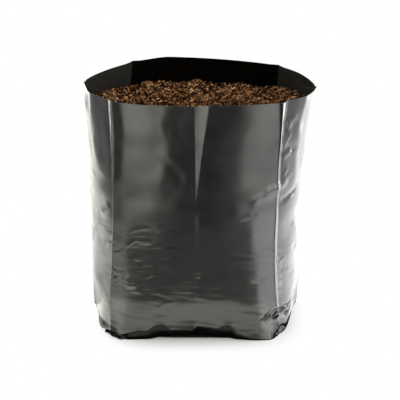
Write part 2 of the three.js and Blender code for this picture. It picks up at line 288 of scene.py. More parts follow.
# Folds that the photo shows: height, width, then s and z of each place that the fold runs through
PHOTO_FOLDS = (
    (-0.55, 1.7, -99, 99, -97, 100, -82, 105, -71, 112, -65, 114, -46, 118, -40, 119),
    (-0.25, 1.6, -73, 107, -56, 113, -44, 117.5),
    (-0.25, 1.7, -67, 120.5, -54, 122, -41, 122),
    (-0.25, 1.7, -74, 124, -61, 129, -48, 131.5),
    (-0.25, 1.7, -40, 133, -28, 132, -14, 129),
    (-0.25, 1.7, -40, 110.5, -28, 112.5, -15, 113),
    (-0.28, 1.8, -50, 91, -37, 98, -29, 101, -14, 101),
    (-0.25, 1.7, -42, 86, -31, 89, -20, 90.5),
    (-0.28, 1.6, -57, 74.5, -31, 77, -21, 78.5),
    (-0.25, 2, -68, 57.5, -53, 56, -33, 50, -28, 48),
    (-0.3, 2.2, -46, 36.5, -36, 32, -28, 32, -17, 36),
    (0.18, 2.6, -50, 103, -34, 107, -12, 112),
    (0.18, 2.6, -46, 94, -33, 98, -14, 97),
    (0.3, 1.8, -68, 90.5, -56, 92),
    (0.35, 2, -59, 85.5, -50, 87, -42, 85.5),
    (0.25, 2.4, -44, 83, -30, 87, -16, 87),
    (0.26, 2, -58, 69.5, -43, 75, -30, 74, -16, 75),
    (0.26, 1.8, -41, 66.5, -23, 67.5),
    (0.22, 2.2, -62, 58, -48, 60, -30, 55, -22, 52),
    (0.3, 2.2, -44, 36, -38, 40, -32, 44, -22, 47),
    (-0.6, 1.8, -99, 82, -88, 81, -74, 82),
    (-0.7, 1.8, -100, 75, -84, 73, -68, 76),
    (-0.5, 2.4, -92, 67, -78, 66, -60, 63),
    (-0.25, 2.4, 44, 142, 54, 144, 66, 145),
    (0.45, 3.4, 44, 61, 58, 65, 78, 66),
    (0.3, 3, 20, 67, 38, 67),
    (0.85, 5, 52, 158, 62, 162, 73, 166, 89, 172, 106, 178),
    (0.85, 5, 67, 164, 73, 166, 89, 172, 106, 178),
    (0.35, 1.3, 1, 170, 1, 120, 1, 40),
    (0.4, 1.4, -5, 81, 5, 82),
    (0.4, 1.4, -5, 77, 5, 78),
    (0.55, 9, -20, 290, -25, 266, -34, 246, -28, 230, -31, 204, -36, 186, -36, 160),
    (-0.5, 5, -40, 213, -29, 204, -20, 192, -15, 176),
    (-0.45, 5, -2, 140, 2, 172, 6, 205, 10, 235, 15, 266, 18, 290),
    (-0.9, 7, -86, 266, -87, 225, -89, 203, -92, 176),
    # On the left gusset
    (1.6, 11, -135, 290, -133, 250, -130, 215, -124, 186, -114, 170),
    (-0.6, 2.2, -101, 114, -108, 108, -118, 98),
    (0.5, 4, -102, 150, -114, 138, -128, 132),
    # On the right gusset
    (0.9, 9, 150, 285, 142, 270, 129, 253, 124, 236, 123, 211, 121, 186, 120, 170, 110, 158),
    (-1.7, 3, 89, 152, 94, 154, 110, 156, 124, 159, 132, 163),
    (0.6, 2.5, 93, 181, 99, 187, 106, 189),
    (0.5, 3, 97, 174, 112, 186),
    (1, 2.5, 95, 217, 102, 226, 106, 231),
    (1, 2.8, 91, 202, 100, 206, 110, 211),
    (-0.9, 3, 94, 214.5, 117, 210),
    (-0.8, 1.8, 91, 75, 100, 74, 113, 69),
    (0.6, 1.8, 92, 86, 105, 83),
    (0.9, 1.6, 65, 20, 68, 24, 74, 28, 79, 32, 85, 34, 92, 33, 104, 27),
    (-0.8, 1.6, 69, 20, 76, 25, 81, 28.5, 87, 30, 95, 29, 102, 27),
    (2.4, 3.4, 72, 26, 80, 26.5, 90, 26, 100, 23, 110, 21, 120, 20, 129, 20.5),
    (-3.4, 1.7, 87, 28.5, 93, 28, 104, 26, 117, 24, 128, 25, 134, 28),
    (-4.2, 2, 87, 23, 92, 21, 105, 16.5, 114, 14.5, 124, 14.5, 132, 16, 138, 22),
    (-1.6, 1.8, 88, -6, 88, 3, 91, 10),
)
FOLD_WANDER = 0.7  # of the folds to either side of their lines
FOLD_WANDER_LENGTH = (26.0, 26.0)

# Folds of the sides that the photo doesn't show, drawn at random
HIDDEN_FOLDS = 70
HIDDEN_FOLD_PLACES = ((140, 596), (25, 210))  # limits of s, counted on round the back, and of z
HIDDEN_FOLD_LENGTH = (14.0, 46.0)
HIDDEN_FOLD_HEIGHT = (0.25, 0.8)
HIDDEN_FOLD_WIDTH = (3.0, 5.5)
HIDDEN_FOLD_TURN = 0.5  # usual slant, in radians
HIDDEN_FOLD_BOW = 0.12  # usual bow, as a share of half the fold

# How the film turns under along the front of the base: a jagged fold line, as s and z
FRONT_UNDERFOLD = (
    (-92, 4), (-72, 8), (-56, 13), (-48, 12), (-40, 19), (-33, 21), (-26, 13), (-10, 12), (-3, 11),
    (3, 17), (14, 16), (25, 14), (32, 20), (36, 20), (42, 9), (56, 4), (70, 1), (92, 0),
)
UNDERFOLD_TILT = 0.24
UNDERFOLD_LIP = 0.8
UNDERFOLD_LIP_FADE = 4.0
UNDERFOLD_END = 12.0  # either end dies away over this length
BASE_PUSH = 4.5  # of the panel's lowest film, out over the floor
BASE_PUSH_FADE = 7.0
BASE_GAP = 6.0  # depth of the gap under the front, whose top is given as s and z
BASE_GAP_TOP = ((-46, 0), (-36, 2.5), (-20, 4.5), (0, 5), (14, 4), (22, 1.5), (30, 0))
BASE_GAP_SPREAD = 0.8

# Ears of spare film at the front corners of the base, in place of the CAD form's feet. At each s: the
# height of the fold under which the film is tucked in, the heights at which the ear sets out and is all
# the way out, and its reach
LEFT_EAR = (
    (-168, 0, 0, 0, 0), (-152, 2.4, 0.8, 0.2, 0.3), (-140, 5.5, 1.6, 0.8, 1), (-127, 9, 2.6, 1.6, 1.8),
    (-116, 11, 3.6, 2.6, 2.4), (-108, 11.5, 5.2, 4.2, 2.4), (-102, 10.5, 6.8, 5.8, 2),
    (-96, 9.8, 8.6, 7.6, 1.8), (-91, 10, 9.8, 8.8, 1.7), (-86, 9.6, 9.4, 8.4, 1.6), (-79, 7.2, 7, 6, 1.3),
    (-73, 3.6, 3.4, 2.4, 0.8), (-66, 0.5, 0.3, 0, 0),
)
RIGHT_EAR = (
    (86, 2, 2, 1, 0), (90, 9, 6.5, 1.5, 0.3), (95, 10, 7, 1.5, 0.5), (104, 10, 7, 1.5, 0.6),
    (110, 8, 5.5, 1, 0.5), (116, 3, 2, 0.5, 0.2), (120, 1, 1, 0, 0),
)
EAR_TUCK = 0.75  # slope of the tucked film
EAR_EDGE = 1.0  # height of an ear's upright edge
EAR_GAP = 3.0  # depth of the gap under that edge
EAR_GAP_HEIGHT = 2.8
UNDER_EAR = 2.8  # reach of the second film, under the gap
UNDER_EAR_HEIGHT = 1.2
EAR_LEDGE = 0.2  # of the edge, before the gap sets in
EAR_SPREAD = 0.5  # height over which the gap opens and closes
EAR_FULL = 2.0  # reach from which an ear has the whole gap

# The lips of the front corner creases: the panel's film rises to a sharp edge, from which a steep facet
# falls back to the gusset. Sizes are given for the lower film and, second, for the rim
LIPS = {
    -1: {"edge": (0.4, 0.8), "fade": (1.2, 1.5), "turn": (82, 66), "from": 170, "sink": 0.0},
    1: {"edge": (0.9, 2.3), "fade": (1.3, 3), "turn": (66, 60), "from": 195, "sink": 2.2},
}
LIP_SINK_FROM = 238.0  # the facet's foot sinks into the gusset from here up
LIP_SINK_FADE = 22.0
LIP_BASE_FADE = 30.0  # the lips set in over this height

# Broad swells of the film: height, s and z of the place, and reach along s and z
SWELLS = (
    (2.4, -140, 270, 26, 60),
    (1.2, -176, 266, 14, 50),
    (1, -50, 262, 20, 40),
    (0.9, -8, 185, 34, 60),
    (0.9, -47, 47, 24, 13),
    (0.6, 49, 47, 24, 13),
    (0.7, -87, 107, 14, 14),
    (1.2, 116, 247, 5, 5),
    (1.6, 107, 240, 5.5, 6),
    (4, -122, 4, 24, 18),
    (-4, 182, 0, 34, 34),
    (2.6, 112, 0, 24, 13),
)

# Waves of the cut rim: s, and how far it stands above its level there
RIM_LIFTS = (
    (-368, 0.2), (-341, 0.6), (-312, -0.4), (-290, -0.3), (-276, 1.0), (-262, 0), (-190, 0), (-184, -1.6),
    (-178, 0.4), (-160, 0), (170, 0), (185, 0.9), (191, -1.0), (198, 0), (266, 0), (276, 0.8), (286, 0),
    (368, 0.2),
)
RIM_LIFT_REACH = 40.0

# Where the front gussets stand straight at the base: from past the corner crease to past the middle one
STRAIGHT_FROM = 4.0
STRAIGHT_PAST = 16.0
STRAIGHT_FADE = 14.0
PANEL_FADE = 14.0  # of what the front panel has, towards its corners

# Random waves all over the film, broad ones and, low down, finer ones: height, and length along s and z
BROAD_HEIGHT = 0.2
BROAD_LENGTH = (70.0, 60.0)
FINE_HEIGHT = 0.06
FINE_LENGTH = (46.0, 14.0)
FINE_TOP = 150.0
FINE_FADE = 60.0
WAVE_BASE_FADE = 12.0  # they set in over this height


def photo_folds(s, z):
    rng = np.random.default_rng(SEEDS["fold_wander"])
    wander_s, wander_z = (FOLD_WANDER * wave_field(rng, s, z, *FOLD_WANDER_LENGTH) for _ in range(2))
    s, z = before_lean(s, z) + wander_s, z + wander_z
    total = np.zeros_like(s)
    for height, width, *places in PHOTO_FOLDS:
        total += fold(s, z, np.reshape(places, (-1, 2)), height, width)
    return total


def hidden_folds(s, z):
    rng = np.random.default_rng(SEEDS["hidden_folds"])
    round_back = s % GIRTH
    total = np.zeros_like(s)
    for _ in range(HIDDEN_FOLDS):
        middle = np.array([rng.uniform(*limits) for limits in HIDDEN_FOLD_PLACES])
        turn = rng.normal() * HIDDEN_FOLD_TURN
        half = rng.uniform(*HIDDEN_FOLD_LENGTH) / 2 * np.array([math.cos(turn), math.sin(turn)])
        bow = rng.normal() * HIDDEN_FOLD_BOW * np.array([-half[1], half[0]])
        height = rng.uniform(*HIDDEN_FOLD_HEIGHT) * rng.choice((-1, 1))
        width = rng.uniform(*HIDDEN_FOLD_WIDTH)
        total += fold(round_back, z, (middle - half, middle + bow, middle + half), height, width)
    return total


def underfold(s, z):
    """The film below the front's fold line tilts in, and the fold stands a little proud."""
    over = profile(s, FRONT_UNDERFOLD)[0] - z
    first, last = FRONT_UNDERFOLD[0][0], FRONT_UNDERFOLD[-1][0]
    inside = smooth((s - first) / UNDERFOLD_END) * smooth((last - s) / UNDERFOLD_END)
    lip = UNDERFOLD_LIP * np.exp(-np.abs(over) / UNDERFOLD_LIP_FADE)
    return inside * (lip - UNDERFOLD_TILT * np.maximum(0.0, over))


def corner_lips(s, z):
    """What the lips of the front corner creases have over the CAD form's."""
    total = np.zeros_like(s)
    for side, lip in LIPS.items():
        gap = side * s - SPAN
        up = np.clip((z - lip["from"]) / (BAG_HEIGHT - lip["from"]), 0.0, 1.0)
        sizes = (lip[key] for key in ("edge", "fade", "turn"))
        edge, fade, turn = (low * (1 - up) + high * up for low, high in sizes)
        across = crease_at(FRONT_MIDDLE + side + 1, z) - crease_at(FRONT_MIDDLE + side - 1, z)
        crease_turn = np.abs(np.arctan2(across[..., 1], across[..., 0]))
        slope = np.tan(np.radians(turn) - crease_turn)
        sink = lip["sink"] * smooth((z - LIP_SINK_FROM) / (BAG_HEIGHT - LIP_SINK_FROM))
        past = gap - (CORNER_RIDGE + edge + sink) / slope
        facet = np.where(past < 0, -slope * past, 0.0) - sink * (1 - smooth(past / LIP_SINK_FADE))
        facet = facet - CORNER_RIDGE * np.exp(-gap / RIDGE_GUSSET_FADE)
        rise = edge * np.exp(np.minimum(gap, 0.0) / fade)
        total += np.where(np.abs(gap) < SPAN, np.where(gap >= 0, facet, rise), 0.0)
    return total * smooth(z / LIP_BASE_FADE)


def base_gap(s, z):
    """The hollow between the front of the base and the floor."""
    return -BASE_GAP * smooth((profile(s, BASE_GAP_TOP)[0] - z) / BASE_GAP_SPREAD)


def straight_gussets(s, along, index, z):
    """What the CAD form's front gussets lose where they turn under at the base."""
    past = np.abs(s) - SPAN - STRAIGHT_FROM
    left = 2 * SPAN + STRAIGHT_PAST - np.abs(s)
    share = smooth(past / STRAIGHT_FADE) * smooth(left / STRAIGHT_FADE)
    return share * turn_under(index, along, z)


def swells(s, z):
    total = np.zeros_like(s)
    for height, place_s, place_z, reach_s, reach_z in SWELLS:
        across = (s - place_s) / reach_s
        up = (z - place_z) / reach_z
        total += height * np.exp(-(across**2 + up**2))
    return total


def rim_lift(s, z):
    return profile(s, RIM_LIFTS)[0] * smooth((z - BAG_HEIGHT) / RIM_LIFT_REACH + 1.0)


def ears(s, z):
    """The ears of the front corners, with the tuck above each and the gap and second film under it."""
    total = np.zeros_like(s)
    for ear in (LEFT_EAR, RIGHT_EAR):
        fold_top, start, end, reach = profile(s, ear)
        tuck = -EAR_TUCK * np.clip(fold_top - z, 0.0, np.maximum(fold_top - start, 0.0))
        flare = np.clip((start - z) / np.maximum(start - end, EAR_SPREAD), 0.0, 1.0)
        below = end - EAR_EDGE - z
        gone = smooth((below - EAR_LEDGE) / EAR_SPREAD)
        gap = gone * smooth((EAR_GAP_HEIGHT - below) / EAR_SPREAD)
        under = np.exp(-(((below - EAR_GAP_HEIGHT - UNDER_EAR_HEIGHT) / UNDER_EAR_HEIGHT) ** 2))
        share = np.clip(reach / EAR_FULL, 0.0, 1.0)
        out = tuck * (1 - flare) + reach * flare * (1 - gone)
        total += out + share * (UNDER_EAR * under - EAR_GAP * gap)
    return total


def eased_dart(s, z):
    """What the slope to the dart gains over the CAD form's by setting out farther left."""
    slope = dart(FRONT_MIDDLE - 1, -s / 2, 0.0, z) - dart(FRONT_MIDDLE - 1, -s, 0.0, z)
    return np.where((s < 0) & (s > -SPAN), slope, 0.0) * front_share(s)


def front_share(s):
    """1 on the front panel, dying away at its corner creases."""
    return smooth((SPAN - np.abs(s)) / PANEL_FADE)


def film_detail(u, z):
    """Outward displacement of the film, in millimetres, on top of the CAD form."""
    rng = np.random.default_rng(SEEDS["waves"])
    s = film_place(u)
    index, along = span_of(u)
    broad = BROAD_HEIGHT * wave_field(rng, s, z, *BROAD_LENGTH)
    low = FINE_HEIGHT * smooth((FINE_TOP - z) / FINE_FADE)
    detail = (broad + low * wave_field(rng, s, z, *FINE_LENGTH)) * smooth(z / WAVE_BASE_FADE)
    detail -= np.where(np.abs(s) < SPAN, dents(index, along, z), 0.0)
    detail += straight_gussets(s, along, index, z) + base_gap(s, z)
    front_feet = foot(np.abs(np.abs(s) - SPAN), z)
    detail += BASE_PUSH * np.exp(-z / BASE_PUSH_FADE) * front_share(s) - front_feet
    detail += photo_folds(s, z) + hidden_folds(s, z) + eased_dart(s, z)
    return detail + swells(s, z) + underfold(s, z) + corner_lips(s, z) + ears(s, z)


# Meshes


def film_columns():
    """u of every column of the film, in order round the bag."""
    columns = []
    for index, count in enumerate(SPAN_COLUMNS):
        t = np.arange(count) / count
        columns.append(index + t - CROWD * np.sin(2 * np.pi * t) / (2 * np.pi))
    return np.concatenate(columns)


def film_points(heights, detailed=True, inset=0.0):
    """Rows of points of the film, in millimetres in the frame, each row at one height."""
    u, z = np.meshgrid(film_columns(), np.asarray(heights, float))
    plan, outward = film_form(u, z)
    out = (film_detail(u, z) if detailed else 0.0) - inset
    plan = plan + outward * np.broadcast_to(out, z.shape)[..., None] - CENTRE
    s = film_place(u)
    plan[..., 0] += lean(s, z)
    height = z + (rim_lift(s, z) if detailed else 0.0)
    return np.concatenate([plan, height[..., None]], axis=-1)


def ring_faces(rows, columns, first=0):
    """Quads between rows of points that run round, facing out where rows go up, and a cap at either end."""
    row, column = np.meshgrid(np.arange(rows - 1), np.arange(columns), indexing="ij")
    following = (column + 1) % columns
    low, high = first + row * columns, first + (row + 1) * columns
    quads = np.stack([low + column, low + following, high + following, high + column], axis=-1)
    last = first + (rows - 1) * columns
    caps = [list(range(first, first + columns))[::-1], list(range(last, last + columns))]
    return quads.reshape(-1, 4).tolist() + caps


def add_object(name, data):
    thing = bpy.data.objects.new(name, data)
    bpy.context.scene.collection.objects.link(thing)
    return thing


def make_mesh(name, points, faces, material, is_smooth=True, sharp=()):
    """A mesh piece; sharp gives the points, all edges between which are sharp."""
    mesh = bpy.data.meshes.new(name)
    mesh.from_pydata((np.asarray(points) * MM).tolist(), [], faces)
    mesh.polygons.foreach_set("use_smooth", np.full(len(mesh.polygons), is_smooth))
    if len(sharp):
        ends = np.zeros(2 * len(mesh.edges), np.int32)
        mesh.edges.foreach_get("vertices", ends)
        is_sharp = np.isin(ends.reshape(-1, 2), sharp).all(axis=1)
        mesh.attributes.new("sharp_edge", "BOOLEAN", "EDGE").data.foreach_set("value", is_sharp)
    mesh.materials.append(material)
    mesh.update()
    return add_object(name, mesh)


def hem_ring(margin, z):
    """A ring round the hem under the base, with a point for each column."""
    u = film_columns()
    index, along = span_of(u)
    after = (index + 1) % CREASES
    x = (SIDE[index] * (1 - along) + SIDE[after] * along) * (HEM_LENGTH / 2 + margin)
    y = (FRONT[index] * (1 - along) + FRONT[after] * along) * (HEM_WIDTH / 2 + margin)
    return np.stack([x - CENTRE[0], y - CENTRE[1], np.full(len(u), z)], axis=-1)


def base_rows(outline):
    """Rows of the base, from the hem out to the film's lowest row, which isn't among them."""
    recess = hem_ring(2 * HEM_MARGIN, 0.0)
    flaps = [recess * (1 - share) + outline * share for share in reversed(FLAP_ROWS)]
    hem = [hem_ring(-HEM_MARGIN, HEM_RECESS - HEM_DROP), hem_ring(0.0, HEM_RECESS - HEM_DROP)]
    return hem + [hem_ring(HEM_MARGIN, HEM_RECESS), recess] + flaps


FREE_FILM = 233.0  # above this the film's inside shows
HIDDEN_HEIGHTS = (228, 200, 165, 130, 95, 60, 30, 14, 6)
HIDDEN_INSET = 3.0


def film_bag(material):
    """One closed shell: hem, base and outside up to the rim, then the inside down to a floor."""
    bands = [np.linspace(low, high, count, endpoint=False) for low, high, count in ROW_BANDS]
    heights = np.concatenate(bands + [[BAG_HEIGHT]])
    outside = film_points(heights)
    free = heights[heights > FREE_FILM][::-1]
    inside = film_points(free, inset=FILM_THICKNESS)
    hidden = film_points(HIDDEN_HEIGHTS, detailed=False, inset=HIDDEN_INSET)
    rows = np.concatenate([np.stack(base_rows(outside[0])), outside, inside, hidden])
    columns = rows.shape[1]
    rim = (len(rows) - len(inside) - len(hidden) - 1) * columns
    rims = range(rim, rim + 2 * columns)
    faces = ring_faces(len(rows), columns)
    return make_mesh("film_bag_looks", rows.reshape(-1, 3), faces, material, sharp=rims)


# Materials

WHITE = (1.0, 1.0, 1.0)


def new_material(name):
    """A new material, its shader and the object's own coordinates."""
    material = bpy.data.materials.new(name)
    material.use_nodes = True
    nodes = material.node_tree.nodes
    return material, nodes["Principled BSDF"], nodes.new("ShaderNodeTexCoord").outputs["Object"]


def plug(socket, value):
    """Link an input to the output given for it, or set the colour or number given."""
    if isinstance(value, bpy.types.NodeSocket):
        socket.id_data.links.new(value, socket)
    else:
        socket.default_value = (*value, 1) if socket.type == "RGBA" else value


def set_sockets(node, **values):
    for name, value in values.items():
        plug(node.inputs[name.replace("_", " ")], value)


def add_node(tree, kind, **values):
    node = tree.nodes.new(kind)
    set_sockets(node, **values)
    return node


def split_node(vector):
    return add_node(vector.id_data, "ShaderNodeSeparateXYZ", Vector=vector).outputs


def noise_node(place, Scale, Detail=3.0, Roughness=0.55, **values):
    values.update(Vector=place, Scale=Scale, Detail=Detail, Roughness=Roughness)
    return add_node(place.id_data, "ShaderNodeTexNoise", **values).outputs["Fac"]


def ramp_node(factor, stops):
    """A colour ramp; stops are pairs of a place and a colour or a grey value."""
    node = add_node(factor.id_data, "ShaderNodeValToRGB", Fac=factor)
    elements = node.color_ramp.elements
    while len(elements) < len(stops):
        elements.new(0.5)
    for element, (place, colour) in zip(elements, stops):
        element.position = place
        element.color = (colour,) * 3 + (1,) if isinstance(colour, float) else (*colour, 1)
    return node.outputs["Color"]


def bump_node(height, distance, **values):
    values.update(Height=height, Strength=1.0, Distance=distance)
    return add_node(height.id_data, "ShaderNodeBump", **values).outputs["Normal"]


def map_node(value, ends, results=(0.0, 1.0)):
    node = add_node(value.id_data, "ShaderNodeMapRange", Value=value)
    node.interpolation_type = "SMOOTHSTEP"
    for name, number in zip(("From Min", "From Max", "To Min", "To Max"), (*ends, *results)):
        node.inputs[name].default_value = number
    return node.outputs["Result"]


def math_node(operation, *values):
    node = values[0].id_data.nodes.new("ShaderNodeMath")
    node.operation = operation
    for socket, value in zip(node.inputs, values):
        plug(socket, value)
    return node.outputs[0]


def mix_node(share, first, second, blend="MIX"):
    """A mix of two colours, the first of them a socket."""
    node = first.id_data.nodes.new("ShaderNodeMix")
    node.data_type = "RGBA"
    node.blend_type = blend
    for index, value in ((0, share), (6, first), (7, second)):
        plug(node.inputs[index], value)
    return node.outputs[2]


def mix_shaders(share, first, second, output):
    """Give out the first shader, with a share of the second."""
    tree = first.id_data
    mix = add_node(tree, "ShaderNodeMixShader", Fac=share)
    plug(mix.inputs[1], first.outputs[0])
    plug(mix.inputs[2], second.outputs[0])
    plug(tree.nodes[output].inputs["Surface"], mix.outputs[0])


FILM_TONES = ((0.3, (0.0008, 0.0008, 0.0007)), (0.75, (0.0018, 0.0018, 0.0016)))
FILM_ROUGHNESS = ((0.3, 0.2), (0.7, 0.27))
FILM_GLOSS = 0.5
FILM_IOR = 1.5
FILM_GRAIN_DEPTH = 0.00002
GUSSET_INSIDE_PAINTED_LIGHT = (0.018, 0.018, 0.017)  # painted light: the grey that stray light gives the gussets' inner faces
INSIDE_ROUGHNESS = (0.1, 0.1, 0.1)
INSIDE_GLOSS = 0.12  # so that the inside doesn't mirror the coir
INSIDE_FACING = (-0.02, 0.0)  # inner faces below, outer ones above
GUSSET_FACING = (0.66, 0.78)  # how far sideways a gusset's inner faces look; the painted light goes on these
CRINKLE_DEPTH = 0.0003
CRINKLE_SCALE = (26, 26, 115)
CRINKLE_LEVEL = 0.08  # they run level here, and fan out above and below
CRINKLE_FAN = 6.0
CRINKLE_LOW = (0.03, 0.06)  # heights between which the crinkles set in
CRINKLE_HIGH = (0.1, 0.145)  # and between which they die away
CRINKLE_SIDE = (-0.02, 0.05)  # they are weaker from here to the right
CRINKLE_RIGHT = 0.4  # what is left of them there


def inner_faces(tree):
    """1 on the film's inner faces, and the same for the gussets' inner faces only, which get painted light.
    """
    place = tree.nodes.new("ShaderNodeTexCoord").outputs
    facing = tree.nodes.new("ShaderNodeVectorMath")
    facing.operation = "DOT_PRODUCT"
    plug(facing.inputs[0], place["Object"])
    plug(facing.inputs[1], place["Normal"])
    inside = map_node(facing.outputs["Value"], INSIDE_FACING, (1.0, 0.0))
    sideways = math_node("ABSOLUTE", split_node(place["Normal"])["X"])
    gusset = map_node(sideways, GUSSET_FACING)
    return inside, math_node("MULTIPLY", inside, gusset)


def crinkles(place):
    """Fine level wrinkles in the lower film, where the coir has pushed it out."""
    split = split_node(place)
    side, height = split["X"], split["Z"]
    over = math_node("SUBTRACT", height, CRINKLE_LEVEL)
    slant = math_node("MULTIPLY", math_node("MULTIPLY", side, over), CRINKLE_FAN)
    level = math_node("SUBTRACT", height, slant)
    tree = place.id_data
    fanned = add_node(tree, "ShaderNodeCombineXYZ", X=side, Y=split["Y"], Z=level)
    stretched = add_node(tree, "ShaderNodeMapping", Vector=fanned.outputs[0], Scale=CRINKLE_SCALE)
    waves = noise_node(stretched.outputs[0], Scale=1.0, Detail=2.0, Roughness=0.5, Distortion=1.2)
    share = map_node(height, CRINKLE_LOW)
    for value, ends, rest in ((height, CRINKLE_HIGH, 0.0), (side, CRINKLE_SIDE, CRINKLE_RIGHT)):
        share = math_node("MULTIPLY", share, map_node(value, ends, (1.0, rest)))
    return math_node("MULTIPLY", waves, share)


def film_material():
    material, shader, place = new_material("black_polythene_film")
    cloud = noise_node(place, Scale=55.0)
    grained = bump_node(noise_node(place, Scale=900.0, Detail=2.0), FILM_GRAIN_DEPTH)
    inside, painted_light_gussets = inner_faces(material.node_tree)
    set_sockets(
        shader,
        # the gussets' inner faces get a painted light grey
        Base_Color=mix_node(painted_light_gussets, ramp_node(cloud, FILM_TONES), GUSSET_INSIDE_PAINTED_LIGHT),
        Roughness=mix_node(inside, ramp_node(cloud, FILM_ROUGHNESS), INSIDE_ROUGHNESS),
        Specular_IOR_Level=map_node(inside, (0.0, 1.0), (FILM_GLOSS, INSIDE_GLOSS)),
        IOR=FILM_IOR,
        Normal=bump_node(crinkles(place), CRINKLE_DEPTH, Normal=grained),
    )
    return material


COIR_TONES = (
    (0.0, (0.006, 0.002, 0.0006)),
    (0.3, (0.11, 0.036, 0.010)),
    (0.55, (0.48, 0.20, 0.07)),
    (0.8, (0.88, 0.44, 0.19)),
    (1.0, (1.0, 0.66, 0.37)),
)
# Tones of the bed that shows between the crumbs: painted shade, much darker than the crumbs, for the gaps
# between them
BED_SHADE_TONES = ((0.3, (0.008, 0.004, 0.002)), (0.55, (0.035, 0.016, 0.007)), (0.75, (0.10, 0.048, 0.02)))
COIR_GLOSS = 0.04


def finish_coir(shader, colour, grain, depth, roughness):
    bump = bump_node(grain, depth)
    set_sockets(shader, Base_Color=colour, Normal=bump, Roughness=roughness, Specular_IOR_Level=COIR_GLOSS)


def coir_material():
    material, shader, place = new_material("coir")
    geometry = add_node(material.node_tree, "ShaderNodeNewGeometry")
    grain = noise_node(place, Scale=700.0, Detail=4.0)
    layers = (
        (grain, ((0.3, 0.5), (0.7, 1.0))),
        (noise_node(place, Scale=260.0, Detail=1.0), ((0.43, 0.03), (0.57, 1.0))),
        (noise_node(place, Scale=70.0), ((0.35, 0.6), (0.6, 1.0))),
    )
    colour = ramp_node(geometry.outputs["Random Per Island"], COIR_TONES)
    for noise, shades in layers:
        colour = mix_node(1.0, colour, ramp_node(noise, shades), "MULTIPLY")
    finish_coir(shader, colour, grain, depth=0.0004, roughness=0.85)
    return material


def bed_material():
    material, shader, place = new_material("coir_bed")
    grain = noise_node(place, Scale=450.0, Detail=5.0, Roughness=0.65)
    # the bed's tones are painted shade for the gaps between the crumbs
    finish_coir(shader, ramp_node(grain, BED_SHADE_TONES), grain, depth=0.0012, roughness=0.95)
    return material


# The coir

FILL_HEIGHT = 237.0
FILL_CROWN = 6.0
FILL_CLEARANCE = 0.3
LUMP_WAVES = (  # turn, spacing, phase and height
    (0, 50, 1.95, 2.6),
    (0.4, 34, 0.4, 1.3),
    (2.6, 30, 2.6, 1.3),
    (0.9, 23, 0.9, 1.2),
    (2.1, 26, 2.1, 1.2),
)
CLODS = 420
CLOD_RADIUS = (3.5, 9.0)
CLOD_RISE = 0.38  # height of a clod, as a share of its radius
CLOD_LEVEL = 1.3  # about the clods' mean height
LUMP_EDGE = 14.0  # power with which the lumps level off towards the film
SIDE_LIFT = 9.0  # of the coir's edge against the gussets
SIDE_LIFT_POWER = 4
HALF_BREADTH = PANEL_WIDTH / 2 + GUSSET_BULGE
BED_COLUMNS = 4  # every so many columns of the film
BED_RINGS = 60
BED_SINK = 2.0  # of the bed under the tops of its crumbs
BED_INSET = 4.5  # of the bed's hidden sides from the film
BED_SIDE_HEIGHTS = (8, 40, 110, 180, 222)


def lumps(x, y):
    """Uneven ground: waves that cross one another."""
    total = np.zeros_like(x)
    for turn, spacing, phase, height in LUMP_WAVES:
        along = x * math.cos(turn) + y * math.sin(turn)
        total += height * np.sin(2 * np.pi * along / spacing + phase)
    return total


def clods(x, y):
    """Rounded clods that lie against one another, with crevices between them."""
    rng = np.random.default_rng(SEEDS["clods"])
    total = np.zeros_like(x)
    for _ in range(CLODS):
        middle_x, middle_y = rng.uniform(-HALF_BREADTH, HALF_BREADTH, size=2)
        radius = rng.uniform(*CLOD_RADIUS)
        away = ((x - middle_x) ** 2 + (y - middle_y) ** 2) / radius**2
        total = np.maximum(total, CLOD_RISE * radius * np.sqrt(np.maximum(0.0, 1 - away)))
    return total - CLOD_LEVEL


def coir_height(x, y, share):
    """Height of the coir's top, share of the way out from the middle to the film."""
    crown = FILL_CROWN * (1 - share**2) + SIDE_LIFT * (x / HALF_BREADTH) ** SIDE_LIFT_POWER
    return FILL_HEIGHT + crown + (lumps(x, y) + clods(x, y)) * (1 - share**LUMP_EDGE)


def coir_edge(gap=0.0):
    inset = FILM_THICKNESS + FILL_CLEARANCE + gap
    return film_points([FILL_HEIGHT], detailed=False, inset=inset)[0, :, :2]


def coir_top(outline, angle_share, share):
    """Points of the coir's top: angle_share of the way round its outline and share of the way out."""
    place = angle_share * len(outline)
    index = np.floor(place).astype(int) % len(outline)
    part = (place - np.floor(place))[..., None]
    edge = outline[index] * (1 - part) + outline[(index + 1) % len(outline)] * part
    middle = outline.mean(axis=0)
    plan = middle + (edge - middle) * share[..., None]
    z = coir_height(plan[..., 0] + CENTRE[0], plan[..., 1] + CENTRE[1], share)
    return np.concatenate([plan, z[..., None]], axis=-1)


def coir_bed(material):
    sides = film_points(BED_SIDE_HEIGHTS, detailed=False, inset=BED_INSET)[:, ::BED_COLUMNS]
    outline = coir_edge()[::BED_COLUMNS]
    columns = len(outline)
    share = 1 - np.arange(BED_RINGS) / BED_RINGS
    share, turn = np.meshgrid(share, np.arange(columns) / columns, indexing="ij")
    top = coir_top(outline, turn, share)
    top[..., 2] -= BED_SINK
    rows = np.concatenate([sides, top])
    return make_mesh("coir_bed", rows.reshape(-1, 3), ring_faces(len(rows), columns), material)


def facing_out(points, i, j, k):
    """Three points in the order in which their triangle faces away from the middle."""
    is_out = np.dot(np.cross(points[j] - points[i], points[k] - points[i]), points[i]) > 0
    return (i, j, k) if is_out else (i, k, j)


